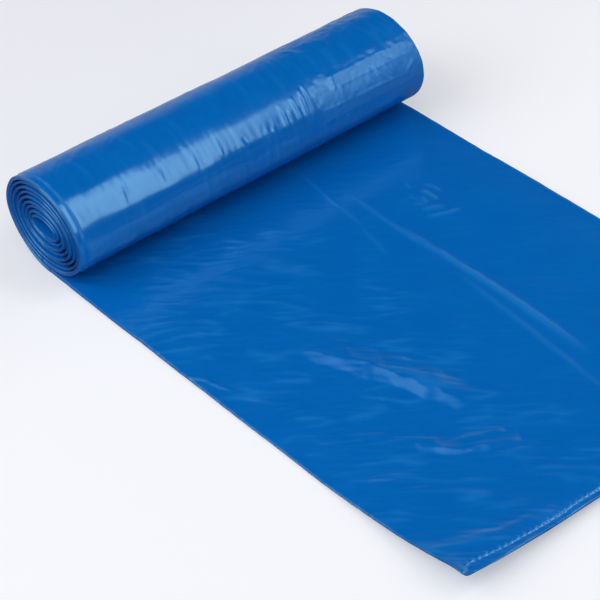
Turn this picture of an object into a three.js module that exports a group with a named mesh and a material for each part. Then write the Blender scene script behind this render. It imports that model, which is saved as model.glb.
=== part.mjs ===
// A roll of garbage bags: one long web of folded plastic film, wound on itself without a core.
// The first bag is pulled off the roll's underside and lies flat, and its sealed end curls up.
// Millimetres, +Z up. The roll's axis runs along X, and the free bag lies towards -Y.
// The origin is at the middle of the object's box, on the surface it lies on.
import * as THREE from "three";

// The roll, which sags into an oval because nothing stiff is inside it
const rollHeight = 55;
const rollWidth = 64.5;
const eyeHalfHeight = 3.4;

// The web: a bag folded lengthwise into a narrow stack of film, with air between the folds
const webWidth = 235;
const webThickness = 2;
const foldRadius = 0.6;
const turnGap = 0.7;

// The free bag, measured from the roll's axis to the torn edge
const freeLength = 306;
const liftLength = 120;
const cornerLift = 13;
const middleLift = 4;
const liftPower = 2.6;
const cornerPower = 3;

// The sealed end: the film swells behind the seal, is pinched flat at it, and fans out in the skirt
const skirtLength = 6;
const swellLength = 16;
const swellThickness = 3.4;
const sealThickness = 1.2;
const edgeThickness = 2.8;

// How finely curves are drawn: the largest gap between a chord and its arc, and the length steps
const chordError = 0.14;
const freeStep = 24;
const liftStep = 12;
const widthSteps = 4;

const turnPitch = webThickness + turnGap;

// A fold can't be rounder than the thinnest film stack leaves room for.
const flatShare = 0.15;
const rounding = Math.min(foldRadius, (sealThickness * (1 - flatShare)) / 2);

// Half height and half width of the web's middle line where it leaves the roll, under the axis
const outerHalfHeight = (rollHeight - webThickness + turnPitch / 2) / 2;
const outerHalfWidth = (rollWidth - webThickness + turnPitch) / 2;
const axisHeight = outerHalfHeight + webThickness / 2;
const backReach = outerHalfWidth - turnPitch / 4 + webThickness / 2;
const axisY = (freeLength - backReach) / 2;

// The middle line's point at a winding angle: 0 is under the axis, and it goes up the back first.
function turnPoint(angle) {
  const inward = (turnPitch * angle) / (2 * Math.PI);
  return new THREE.Vector2(
    axisY + (outerHalfWidth - inward) * Math.sin(angle),
    axisHeight - (outerHalfHeight - inward) * Math.cos(angle),
  );
}

// The wound turns' middle line, from under the axis to the eye, with fewer points on smaller turns.
function woundLine() {
  const turns = (outerHalfHeight - eyeHalfHeight) / turnPitch;
  const lastAngle = 2 * Math.PI * turns;
  const points = [];
  let angle = 0;
  let step = 0;
  // The loop stops half a step short, so that the last stretch is never a sliver.
  while (angle < lastAngle - step / 2) {
    points.push({ at: turnPoint(angle), thickness: webThickness });
    const radius = outerHalfHeight - (turnPitch * angle) / (2 * Math.PI);
    step = 2 * Math.acos(1 - chordError / radius);
    angle += step;
  }
  points.push({ at: turnPoint(lastAngle), thickness: webThickness });
  return points;
}

// The web's thickness at a distance from the torn edge.
function freeThickness(fromEdge) {
  const { lerp, smoothstep } = THREE.MathUtils;
  if (fromEdge < skirtLength) {
    return lerp(edgeThickness, sealThickness, fromEdge / skirtLength);
  }
  if (fromEdge < skirtLength * 2) {
    return lerp(sealThickness, swellThickness, fromEdge / skirtLength - 1);
  }
  const settled = smoothstep(fromEdge, skirtLength * 2, skirtLength * 2 + swellLength);
  return lerp(swellThickness, webThickness, settled);
}

// The free bag's middle line, from the torn edge to just short of the roll's underside.
function freeLine() {
  const marks = [
    0,
    skirtLength,
    skirtLength * 2,
    skirtLength * 2 + swellLength / 2,
    skirtLength * 2 + swellLength,
  ];
  while (marks.at(-1) < freeLength - freeStep) {
    const step = marks.at(-1) < liftLength ? liftStep : freeStep;
    marks.push(Math.min(marks.at(-1) + step, freeLength - freeStep / 2));
  }
  return marks.map((fromEdge) => {
    const thickness = freeThickness(fromEdge);
    const at = new THREE.Vector2(axisY - freeLength + fromEdge, thickness / 2);
    return { at, thickness };
  });
}

// The closed outline of the whole web seen from its edge, in (Y, Z).
function webOutline() {
  const line = [...freeLine(), ...woundLine()];
  const under = [];
  const over = [];
  line.forEach(({ at, thickness }, i) => {
    const before = line[Math.max(i - 1, 0)].at;
    const after = line[Math.min(i + 1, line.length - 1)].at;
    const isFree = at.y <= thickness / 2 && at.x < axisY;
    const along = isFree
      ? new THREE.Vector2(1, 0)
      : after.clone().sub(before).normalize();
    const across = new THREE.Vector2(-along.y, along.x).multiplyScalar(thickness / 2);
    over.push(at.clone().add(across));
    under.push(at.clone().sub(across));
  });
  return new THREE.Shape([...under, ...over.reverse()]);
}

// How far the free end is off the surface, at a distance from its edge and from the middle.
function liftAt(fromEdge, fromMiddle) {
  const share = THREE.MathUtils.clamp(1 - fromEdge / liftLength, 0, 1);
  const sideways = (Math.abs(fromMiddle) / (webWidth / 2)) ** cornerPower;
  const height = middleLift + (cornerLift - middleLift) * sideways;
  return height * share ** liftPower;
}

// The web as one solid, with its long folded edges rounded and its free end curled up.
function webGeometry() {
  const geometry = new THREE.ExtrudeGeometry(webOutline(), {
    depth: webWidth - 2 * rounding,
    steps: widthSteps,
    bevelEnabled: true,
    bevelThickness: rounding,
    bevelSize: rounding,
    bevelOffset: -rounding,
    bevelSegments: 1,
  });
  geometry.translate(0, 0, rounding - webWidth / 2);
  const place = geometry.getAttribute("position");
  for (let i = 0; i < place.count; i += 1) {
    const fromEdge = place.getX(i) - (axisY - freeLength);
    place.setY(i, place.getY(i) + liftAt(fromEdge, place.getZ(i)));
  }
  return geometry;
}

const blueFilm = new THREE.MeshStandardMaterial({
  color: 0x0060b0,
  roughness: 0.3,
  metalness: 0,
});

const bagRoll = new THREE.Mesh(webGeometry(), blueFilm);
bagRoll.name = "bag_roll";
// The outline's X, Y and depth become the part's Y, Z and X.
bagRoll.quaternion.setFromAxisAngle(
  new THREE.Vector3(1, 1, 1).normalize(),
  (2 * Math.PI) / 3,
);

const garbageBagRoll = new THREE.Group();
garbageBagRoll.add(bagRoll);

export default garbageBagRoll;
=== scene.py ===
"""A coreless roll of blue garbage bags, with its first bag pulled out and lying flat.

The roll and the free bag are one long web of folded polyethylene film. The web is modelled
in millimetres in two directions: x across it, and along it from its torn end. Each visible
stretch is a closed loop of film swept along the web's path, then creased and wrinkled.
"""

import logging
import math
from abc import ABC, abstractmethod
from dataclasses import dataclass
from enum import Enum

import bmesh
import bpy
import numpy as np
from mathutils import Matrix, Vector


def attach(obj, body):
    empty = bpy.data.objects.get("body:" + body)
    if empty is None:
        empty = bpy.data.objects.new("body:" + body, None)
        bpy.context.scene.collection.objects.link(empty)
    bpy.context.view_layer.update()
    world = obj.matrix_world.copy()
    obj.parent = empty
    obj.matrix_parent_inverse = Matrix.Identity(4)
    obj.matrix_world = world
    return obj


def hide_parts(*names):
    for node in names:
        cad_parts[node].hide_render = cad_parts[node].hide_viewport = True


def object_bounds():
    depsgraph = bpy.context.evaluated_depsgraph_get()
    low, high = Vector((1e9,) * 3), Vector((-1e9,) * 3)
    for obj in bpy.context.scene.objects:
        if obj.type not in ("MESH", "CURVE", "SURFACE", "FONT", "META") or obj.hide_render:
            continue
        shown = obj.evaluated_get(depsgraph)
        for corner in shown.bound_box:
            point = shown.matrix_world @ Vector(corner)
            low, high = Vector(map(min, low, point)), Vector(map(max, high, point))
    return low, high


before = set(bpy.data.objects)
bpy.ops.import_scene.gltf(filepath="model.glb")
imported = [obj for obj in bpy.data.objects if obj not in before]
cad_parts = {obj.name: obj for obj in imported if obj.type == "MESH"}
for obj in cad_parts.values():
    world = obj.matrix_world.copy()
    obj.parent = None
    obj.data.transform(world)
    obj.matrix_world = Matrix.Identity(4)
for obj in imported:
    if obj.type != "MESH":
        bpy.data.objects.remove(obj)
CAD_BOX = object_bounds()

LOG = logging.getLogger("bag_roll")
MM = 0.001
NODE = "bag_roll"
BODY = "root"
FILM_MAP = "film"
# Marks the folded edges for painted shade.
FILM_EDGE_SHADE = "film_edge_shade"
# Marks wrinkle tops and the seal's teeth for painted highlights.
FILM_CREST_HIGHLIGHT = "film_crest_highlight"
FILM_CRUSHED = "film_crushed"
SEAM_MM = 1e-4  # Points of the loop's seam that lie closer than this become one.
FULL_TURN = 2 * math.pi

# A mix node's sockets for two colours.
MIX_SHARE, MIX_FIRST, MIX_SECOND, MIX_RESULT = 0, 6, 7, 2

Array = np.ndarray
Span = tuple[float, float]
Point = tuple[float, float]
Colour = tuple[float, float, float, float]
Socket = bpy.types.NodeSocket
Tree = bpy.types.NodeTree


def linear(hex_colour: str) -> Colour:
    """Turn an sRGB hex colour into linear numbers, by the two parts of the sRGB curve.

    Args:
        hex_colour: Six hex digits, such as "0060B0".

    Returns:
        Red, green, blue and an alpha of 1.
    """
    channels = [int(hex_colour[i:i + 2], 16) / 255 for i in (0, 2, 4)]
    red, green, blue = (
        c / 12.92 if c <= 0.04045 else ((c + 0.055) / 1.055) ** 2.4 for c in channels
    )
    return red, green, blue, 1.0


def smooth_step(low: float, high: float, value: Array) -> Array:
    """Ease from 0 at low to 1 at high."""
    share = np.clip((value - low) / (high - low), 0, 1)
    return share * share * (3 - 2 * share)


@dataclass(frozen=True)
class Zone:
    """A stretch of the film with soft borders.

    Attributes:
        low: Where it starts, in millimetres.
        high: Where it ends.
        soft: Width of the border outside each end.
    """

    low: float
    high: float
    soft: float

    def at(self, value: Array) -> Array:
        """Be 1 inside the zone, and fade to 0 across its borders."""
        ended = smooth_step(self.high, self.high + self.soft, value)
        return smooth_step(self.low - self.soft, self.low, value) * (1 - ended)


@dataclass(frozen=True)
class Hump:
    """A smooth hump that dies away on both sides, or a hollow where its height is negative.

    Attributes:
        height: Its height in the middle, in millimetres or as a share.
        width: How far out it has fallen to about a third, in millimetres.
        middle: Where its middle lies.
    """

    height: float
    width: float
    middle: float = 0.0

    def at(self, value: Array) -> Array:
        """Read its height."""
        return self.height * np.exp(-((value - self.middle) / self.width) ** 2)


@dataclass(frozen=True)
class Waves:
    """Smooth random waves, the same on every run.

    Attributes:
        seed: Picks one set of waves.
        wide: Distance between their hills along x, in millimetres.
        long: The same along y.
        height: About how high the highest hills are.
        shift: Where the set starts along x, in hills.
        row: Where it starts along y, in hills.
    """

    PERIOD = 256
    FULLNESS = 1.5

    seed: int
    wide: float
    long: float = 1.0
    height: float = 1.0
    shift: float = 0.0
    row: float = 0.0

    def raw(self, x: Array, y: Array) -> Array:
        """Read hills that are one unit apart and about one unit high.

        Args:
            x: Place in the first direction, in hills.
            y: Place in the second direction.

        Returns:
            Their height, from about -1 to 1.
        """
        random = np.random.default_rng(self.seed)
        turns = random.random(self.PERIOD) * FULL_TURN
        order = random.permutation(self.PERIOD)
        left = np.floor(x).astype(int)
        near = np.floor(y).astype(int)
        total = np.zeros_like(x)
        for step_x in (0, 1):
            for step_y in (0, 1):
                first = order[(left + step_x) % self.PERIOD]
                cell = order[(first + near + step_y) % self.PERIOD]
                away_x = x - left - step_x
                away_y = y - near - step_y
                slope = np.cos(turns[cell]) * away_x + np.sin(turns[cell]) * away_y
                total += slope * self.fade(away_x) * self.fade(away_y)
        return total * self.FULLNESS

    @staticmethod
    def fade(away: Array) -> Array:
        """Fall from 1 at a grid point to 0 at its neighbours, by a curve of the fifth power."""
        near = 1 - np.abs(away)
        return near ** 3 * (near * (near * 6 - 15) + 10)

    def scaled(self, x: Array, y: Array | float) -> tuple[Array, Array | float]:
        """Turn millimetres into hills."""
        return x / self.wide + self.shift, y / self.long + self.row

    def at(self, x: Array, y: Array | float = 0.0) -> Array:
        """Read the waves at places in millimetres."""
        return self.height * self.raw(*self.scaled(x, y))


@dataclass(frozen=True)
class Ridges(Waves):
    """Thin ridges wherever the waves cross zero, as film buckles.

    Attributes:
        thin: Half a ridge's width, as the height of the waves that it takes in.
    """

    thin: float = 0.2

    def at(self, x: Array, y: Array | float = 0.0) -> Array:
        """Read the ridges at places in millimetres."""
        return self.height / (1 + (self.raw(*self.scaled(x, y)) / self.thin) ** 2)


@dataclass(frozen=True)
class Patches(Waves):
    """Patches of film with soft borders, wherever the waves are high.

    Attributes:
        none: Height of the waves up to which there is none.
        full: Height from which the patch is full.
    """

    none: float = -0.5
    full: float = 0.3

    def at(self, x: Array, y: Array | float = 0.0) -> Array:
        """Be 1 inside the patches and 0 between them."""
        return smooth_step(self.none, self.full, self.raw(*self.scaled(x, y)))


@dataclass(frozen=True)
class Crumple(Waves):
    """Waves folded over themselves, for the facets and sharp lines of crushed film."""

    LAYERS = 3
    GROWTH = 1.9
    APART = 7.3

    def at(self, x: Array, y: Array | float = 0.0) -> Array:
        """Add up ever finer layers of folded waves.

        Args:
            x: Place across, in millimetres.
            y: Place along.

        Returns:
            Height of the crumpled film above its lowest places.
        """
        across, along = self.scaled(x, y)
        total = np.zeros_like(x)
        for layer in range(self.LAYERS):
            scale = self.GROWTH ** layer
            total += np.abs(self.raw(across * scale + self.APART * layer, along * scale)) / scale
        return self.height * total


class Profile(Enum):
    """How a crease looks when it is cut across."""

    ROUND = "round"
    TENT = "tent"


@dataclass(frozen=True)
class Crease:
    """A long line pressed into the film, from one point of the web to another.

    Attributes:
        start: Place of one end in millimetres, across and along.
        end: Place of the other end.
        height: How far it stands up, or sinks if negative.
        width: Half the width of its gentle flank.
        bow: How far its middle lies to the left of the straight line.
        steepness: How much narrower the flank on its right is.
        wander: How far it strays from its line here and there.
        profile: Whether it is rounded, or has flat flanks that all catch the light at once.
    """

    STRAY = Waves(91, 9, 9)
    BLUNTNESS = 4

    start: Point
    end: Point
    height: float
    width: float
    bow: float = 0.0
    steepness: float = 1.0
    wander: float = 0.0
    profile: Profile = Profile.ROUND

    def at(self, x: Array, y: Array) -> Array:
        """Work out the height that the crease adds.

        Args:
            x: Across the web.
            y: The other direction, in the same measure as the crease's ends.

        Returns:
            Height at each place.
        """
        span = np.subtract(self.end, self.start)
        length = float(np.hypot(*span))
        along_x, along_y = span / length
        from_x = x - self.start[0]
        from_y = y - self.start[1]
        share = (from_x * along_x + from_y * along_y) / length
        inside = np.clip(share, 0, 1)
        aside = from_x * along_y - from_y * along_x + self.bow * 4 * inside * (1 - inside)
        if self.wander:
            aside += self.wander * self.STRAY.at(x, y)
        flank = np.where(aside > 0, self.width / self.steepness, self.width)
        if self.profile is Profile.TENT:
            crest = np.clip(1 - np.abs(aside) / (2 * flank), 0, 1)
        else:
            crest = 1 / (1 + (aside / flank) ** 2) ** 2
        return self.height * crest * np.clip(1 - np.abs(share * 2 - 1) ** self.BLUNTNESS, 0, 1)


def pressed(creases: tuple[Crease, ...], x: Array, y: Array) -> Array:
    """Add up the heights of several creases."""
    return sum(crease.at(x, y) for crease in creases)


@dataclass(frozen=True)
class WebForm:
    """Sizes of the web in millimetres, the same as the solid part's.

    Attributes:
        width: Width of the folded web.
        thickness: Thickness of the folded stack of film.
        roll_height: Height of the roll.
        roll_width: Width of the roll.
        turn_gap: Air between two turns.
        eye_half_height: Half height of the eye in the middle of the roll.
        free_length: From the roll's axis to the torn edge.
        lift_length: How much of the free end is off the surface.
        corner_lift: How high its corners stand.
        middle_lift: How high its middle stands.
        lift_power: How late along the free end the curl starts.
        corner_power: How close to the corners it is highest.
        skirt_length: Film beyond the seal.
        taper: How much thicker the roll is at its left end than at its middle, as a share.
    """

    width: float = 235.0
    thickness: float = 2.0
    roll_height: float = 55.0
    roll_width: float = 64.5
    turn_gap: float = 0.7
    eye_half_height: float = 3.4
    free_length: float = 306.0
    lift_length: float = 120.0
    corner_lift: float = 13.0
    middle_lift: float = 4.0
    lift_power: float = 2.6
    corner_power: float = 3.0
    skirt_length: float = 6.0
    taper: float = 0.012

    @property
    def half(self) -> float:
        """Half the web's width."""
        return self.width / 2

    @property
    def pitch(self) -> float:
        """Distance from one turn to the next."""
        return self.thickness + self.turn_gap

    @property
    def half_height(self) -> float:
        """Half height of the outermost turn's middle line."""
        return (self.roll_height - self.thickness + self.pitch / 2) / 2

    @property
    def half_width(self) -> float:
        """Half width of the outermost turn's middle line."""
        return (self.roll_width - self.thickness + self.pitch) / 2

    @property
    def mean_radius(self) -> float:
        """Radius of a round turn about as long as the outermost one."""
        return (self.half_height + self.half_width) / 2

    @property
    def torn_y(self) -> float:
        """Where the torn edge lies along Y."""
        return CAD_BOX[0][1] / MM

    @property
    def axis_y(self) -> float:
        """Where the roll's axis lies along Y."""
        return self.torn_y + self.free_length

    def from_side(self, x: Array) -> Array:
        """Distance from the nearest folded side of the web."""
        return self.half - np.abs(x)

    def near_side(self, width: float, x: Array) -> Array:
        """Rise from 0 to 1 over the last millimetres before either side of the web."""
        return smooth_step(self.half - width, self.half, np.abs(x))

    def lift(self, from_edge: Array, x: Array) -> Array:
        """Work out how far the free end is off the surface.

        Args:
            from_edge: Distance from the torn edge.
            x: Across the web.

        Returns:
            Height of the underside.
        """
        share = np.clip(1 - from_edge / self.lift_length, 0, 1)
        sideways = np.abs(x / self.half) ** self.corner_power
        height = self.middle_lift + (self.corner_lift - self.middle_lift) * sideways
        return height * share ** self.lift_power


def film_object(name: str, grid: bmesh.types.BMesh) -> bpy.types.Object:
    """Link a finished bmesh to the scene as a smooth object at the origin.

    Args:
        name: Name of the object and its mesh.
        grid: The bmesh, which is used up.

    Returns:
        The new object.
    """
    mesh = bpy.data.meshes.new(name)
    grid.to_mesh(mesh)
    grid.free()
    mesh.shade_smooth()
    piece = bpy.data.objects.new(name, mesh)
    bpy.context.scene.collection.objects.link(piece)
    return piece


@dataclass(frozen=True)
class FilmLoop:
    """The outline of the folded web, cut across: top, right folds, underside and left folds.

    Attributes:
        half: Half the web's width, in millimetres.
        top_steps: Columns across the top.
        under_steps: Columns across the underside.
        fold_depth: How far a fold bulges past the groove beside it.
        folds: How many folded layers show at each edge.
        fold_steps: Points round each fold.
        fold_fullness: Power that makes a fold rounder than a sine wave.
    """

    half: float
    top_steps: int
    under_steps: int
    fold_depth: float
    folds: int = 3
    fold_steps: int = 5
    fold_fullness: float = 0.6

    def points(self) -> tuple[Array, Array]:
        """Work out the closed outline.

        Returns:
            Where each point is across the web, and its level from 1 on top to -1 below.
        """
        reach = self.half - self.fold_depth
        level = np.linspace(1, -1, self.folds * self.fold_steps + 1)[1:-1]
        bulge = np.abs(np.sin(self.folds * math.pi * (level + 1) / 2)) ** self.fold_fullness
        side = reach + self.fold_depth * bulge
        top = np.linspace(-reach, reach, self.top_steps + 1)
        under = np.linspace(reach, -reach, self.under_steps + 1)
        across = np.concatenate([top, side, under, -side[::-1], top[:1]])
        levels = np.concatenate([
            np.ones_like(top), level, -np.ones_like(under), level[::-1], [1.0],
        ])
        return across, levels


@dataclass
class WebStretch(ABC):
    """One stretch of the web, swept as a closed loop of film along its path.

    A subclass says where its rows and the points of the loop lie, and this class makes the
    mesh and dresses it.

    Attributes:
        form: Sizes of the web.
        name: Name of the finished piece.
        top_shows: Whether the web's top is the side that shows, or its underside.
        top_steps: Columns across the top.
        under_steps: Columns across the underside.
        fold_depth: How far a fold bulges past the groove beside it, in millimetres.
        edge_shade_reach: How far from the top and the underside a folded edge gets painted shade.
    """

    form: WebForm
    name: str = "web"
    top_shows: bool = True
    top_steps: int = 24
    under_steps: int = 24
    fold_depth: float = 0.45
    edge_shade_reach: float = 0.3

    @abstractmethod
    def rows(self) -> Array:
        """Say where each row lies along the path."""

    @abstractmethod
    def place(self, x: Array, level: Array, along: Array) -> tuple[Array, Array, Array]:
        """Place points of the web in space, in millimetres."""

    def web_length(self, along: Array) -> Array:
        """Distance from the torn edge, for the film's own coordinates."""
        return along

    def film_edge_shade(self, level: Array) -> Array:
        """Say how far a point is round the fold, where the stack's side gets painted shade."""
        return smooth_step(0.0, self.edge_shade_reach, 1 - np.abs(level))

    def crest(self, x: Array, along: Array) -> Array:
        """Say where a painted highlight lightens the tops of fine wrinkles."""
        return np.zeros_like(x)

    def crushed(self, x: Array, along: Array) -> Array:
        """Say where the film is crushed so finely that it looks hazy."""
        return np.zeros_like(x)

    def build(self) -> bpy.types.Object:
        """Make the mesh, with its film coordinates and the state of the film marked.

        Returns:
            The piece, still without its film.
        """
        loop = FilmLoop(self.form.half, self.top_steps, self.under_steps, self.fold_depth)
        across, levels = loop.points()
        lengths = self.rows()
        columns, rows = len(across) - 1, len(lengths) - 1
        grid = bmesh.new()
        # The grid is one unit wide and long, about the origin.
        bmesh.ops.create_grid(grid, x_segments=columns, y_segments=rows, size=0.5)
        shares = np.array([vertex.co[:2] for vertex in grid.verts]) + 0.5
        column, row = np.rint(shares * (columns, rows)).astype(int).T
        x, level, along = across[column], levels[column], lengths[row]
        shown = level > 0 if self.top_shows else level < 0
        marks = {
            # Painted shade on the folded edges.
            FILM_EDGE_SHADE: self.film_edge_shade(level),
            # Painted highlights on the tops of wrinkles and the seal's teeth.
            FILM_CREST_HIGHLIGHT: np.where(shown, self.crest(x, along), 0),
            FILM_CRUSHED: np.where(shown, self.crushed(x, along), 0),
        }
        film = np.stack([x, self.web_length(along)], axis=1) * MM
        uv = grid.loops.layers.uv.new(FILM_MAP)
        layers = [grid.verts.layers.float.new(mark) for mark in marks]
        places = np.stack(self.place(x, level, along), axis=1) * MM
        states = np.stack(list(marks.values()), axis=1)
        for vertex, place, state, on_film in zip(
            list(grid.verts), places.tolist(), states.tolist(), film.tolist()
        ):
            vertex.co = place
            for layer, share in zip(layers, state):
                vertex[layer] = share
            for corner in vertex.link_loops:
                corner[uv].uv = on_film
        seam = [v for v, c in zip(list(grid.verts), column.tolist()) if c in (0, columns)]
        bmesh.ops.remove_doubles(grid, verts=seam, dist=MM * SEAM_MM)
        rims = [edge for edge in grid.edges if edge.is_boundary]
        bmesh.ops.holes_fill(grid, edges=rims, sides=0)
        bmesh.ops.recalc_face_normals(grid, faces=grid.faces[:])
        return film_object(self.name, grid)

    def dress(self, piece: bpy.types.Object, film: bpy.types.Material) -> None:
        """Cover a piece in its film and tie it to the frame.

        Args:
            piece: The piece to dress.
            film: Its material.
        """
        piece.data.materials.append(film)
        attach(piece, BODY)
        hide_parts(NODE)


@dataclass(frozen=True)
class Fan:
    """Fine wrinkles that run aslant from the left side of the free bag, turning as they go.

    Attributes:
        slant: Their direction at the roll, in degrees from its axis.
        turn: How much that grows away from the roll.
        bend: From where to where it grows.
        weakened: How much weaker they are on the right, as a share.
        side: From where to where across the web they weaken.
        stray: How they stray.
        clear: The clearest wrinkles.
        clear_patches: Where they are.
        between: The wrinkles between them.
        between_patches: Where those are.
        faint: The faintest wrinkles.
        highlight_height: Height from which a wrinkle top gets a painted highlight.
        highlight_gain: How fast more height makes that painted highlight stronger.
    """

    slant: float = 38.0
    turn: float = 5.0
    bend: Span = (60, 130)
    weakened: float = 0.7
    side: Span = (-30, 40)
    stray: Waves = Waves(3, 34, 22, 3.5)
    clear: Ridges = Ridges(11, 7.0, 42, 0.25, thin=0.2)
    clear_patches: Patches = Patches(13, 40, 18, none=-0.5, full=0.35)
    between: Ridges = Ridges(12, 4.4, 25, 0.17, thin=0.26)
    between_patches: Patches = Patches(14, 25, 14, shift=5, none=-0.5, full=0.3)
    faint: Ridges = Ridges(15, 3.2, 19, 0.09, thin=0.3)
    highlight_height: float = 0.19
    highlight_gain: float = 3.2

    def at(self, x: Array, out: Array) -> Array:
        """Raise the wrinkles.

        Args:
            x: Across the web.
            out: Distance from the roll's axis.

        Returns:
            Their height.
        """
        slant = np.radians(self.slant + self.turn * smooth_step(*self.bend, out))
        across = out * np.cos(slant) - x * np.sin(slant)
        along = out * np.sin(slant) + x * np.cos(slant)
        stray = self.stray.at(along, across)
        total = self.clear.at(across + stray, along) * self.clear_patches.at(along, across)
        total += self.between.at(across + stray, along) * self.between_patches.at(along, across)
        total += self.faint.at(across - stray, along)
        return total * (1 - self.weakened * smooth_step(*self.side, x))

    def air(self, x: Array, out: Array) -> Array:
        """Say how strong the painted highlight on the wrinkle tops is, from 0 to 1."""
        return np.clip(self.highlight_gain * (self.at(x, out) - self.highlight_height), 0, 1)


@dataclass(frozen=True)
class HeatSeal:
    """The seal across the bag's bottom: a thin line pressed by a heated bar with teeth.

    Attributes:
        form: Sizes of the web.
        back: How much closer to the torn edge it is than the skirt's full length.
        bow: How it swings inward near the corners.
        corner: How it swings out again right at them.
        stray: How it strays.
        tooth: Spacing of the bar's teeth.
        depth: Mean depth of their print, as a share.
        depth_waves: How that varies.
        line_print: The print on the seal's own line.
        fading_print: How it fades behind the seal.
        glints: Painted glints on the film between the teeth, along the seal.
        height: Height of the step at the seal.
        flank: Width of that step.
        length: How far behind the seal the step has gone.
    """

    form: WebForm
    back: float = 3.2
    bow: Hump = Hump(3.0, 24)
    corner: Hump = Hump(-4.0, 4)
    stray: Waves = Waves(42, 30, height=0.4)
    tooth: float = 3.6
    depth: float = 0.8
    depth_waves: Waves = Waves(43, 5, height=0.6, row=0.5)
    line_print: Hump = Hump(0.3, 0.7, 0.6)
    fading_print: Hump = Hump(0.3, 2)
    glints: Hump = Hump(0.8, 0.9, 0.6)
    height: float = 0.5
    flank: float = 0.8
    length: float = 12.0

    def past(self, x: Array, along: Array) -> Array:
        """Work out how far a place is inside the seal.

        Args:
            x: Across the web.
            along: Distance from the torn edge.

        Returns:
            The distance, negative in the skirt.
        """
        from_side = self.form.from_side(x)
        swing = self.bow.at(from_side) + self.corner.at(from_side)
        return along - (self.form.skirt_length - self.back + swing + self.stray.at(x))

    def teeth(self, x: Array) -> Array:
        """Print of the bar's teeth along the seal, from about -1 to 1."""
        return np.cos(FULL_TURN * x / self.tooth) * (self.depth + self.depth_waves.at(x))

    def air(self, x: Array, along: Array) -> Array:
        """Say how strong the painted glints between the teeth are, from 0 to 1."""
        # Painted glints on the tops of the teeth's print, near the seal line.
        return np.clip(self.teeth(x), 0, 1) * self.glints.at(self.past(x, along))

    def at(self, x: Array, along: Array) -> Array:
        """Raise a thin step with the dents of the teeth.

        Args:
            x: Across the web.
            along: Distance from the torn edge.

        Returns:
            Its height.
        """
        past = self.past(x, along)
        rise = np.clip(past / self.flank, 0, 1)
        rise *= 1 - smooth_step(self.flank, self.length, past)
        depth = rise * self.fading_print.at(past) + self.line_print.at(past)
        return self.height * rise + self.teeth(x) * depth


@dataclass(frozen=True)
class TornEnd:
    """The bag's torn edge, its rounded corners and the loose skirt beyond the seal.

    Attributes:
        form: Sizes of the web.
        stub: Spacing of the stubs that the perforation leaves.
        stub_length: Their length.
        stray: How the edge strays.
        zone: Length of film that follows the edge.
        mean: How far the middle of the stack follows it, as a share.
        spread: How much more its top does, and its underside less.
        sag: How far the skirt hangs down.
        corner_sag: How much more it does at the corners.
        sag_waves: How that varies.
        behind: How far behind the skirt the film still hangs.
        lateness: Power that makes it hang late, towards the edge.
        radius: Rounding of the corners.
        corner_zone: Width of film that moves with it.
    """

    form: WebForm
    stub: float = 1.9
    stub_length: float = 0.35
    stray: Waves = Waves(41, 17, height=0.8, row=0.5)
    zone: float = 4.0
    mean: float = 0.6
    spread: float = 0.4
    sag: float = 0.8
    corner_sag: Hump = Hump(0.3, 12)
    sag_waves: Waves = Waves(61, 16, height=0.5, row=0.5)
    behind: float = 3.0
    lateness: float = 1.5
    radius: float = 2.0
    corner_zone: float = 25.0

    def tear(self, x: Array, level: Array, along: Array) -> Array:
        """Work out how far the film lies inward of a straight tear.

        Args:
            x: Across the web.
            level: From 1 on top to -1 below.
            along: Distance from the torn edge.

        Returns:
            The distance.
        """
        stubs = self.stub_length * np.abs(np.sin(math.pi * x / self.stub))
        follows = (1 - smooth_step(0, self.zone, along)) * (self.mean + self.spread * level)
        return (stubs + self.stray.at(x)) * follows

    def droop(self, x: Array, along: Array) -> Array:
        """Work out how far the skirt hangs down.

        Args:
            x: Across the web.
            along: Distance from the torn edge.

        Returns:
            The distance.
        """
        most = self.sag + self.corner_sag.at(self.form.from_side(x)) + self.sag_waves.at(x)
        held = smooth_step(0, self.form.skirt_length + self.behind, along)
        return most * (1 - held) ** self.lateness

    def rounding(self, x: Array, along: Array) -> Array:
        """Work out how far the sides draw in at the corners.

        Args:
            x: Across the web.
            along: Distance from the torn edge.

        Returns:
            The distance.
        """
        past_corner = np.clip(1 - along / self.radius, 0, 1)
        drawn_in = self.radius * (1 - np.sqrt(1 - past_corner ** 2))
        return drawn_in * self.form.near_side(self.corner_zone, x)


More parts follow.
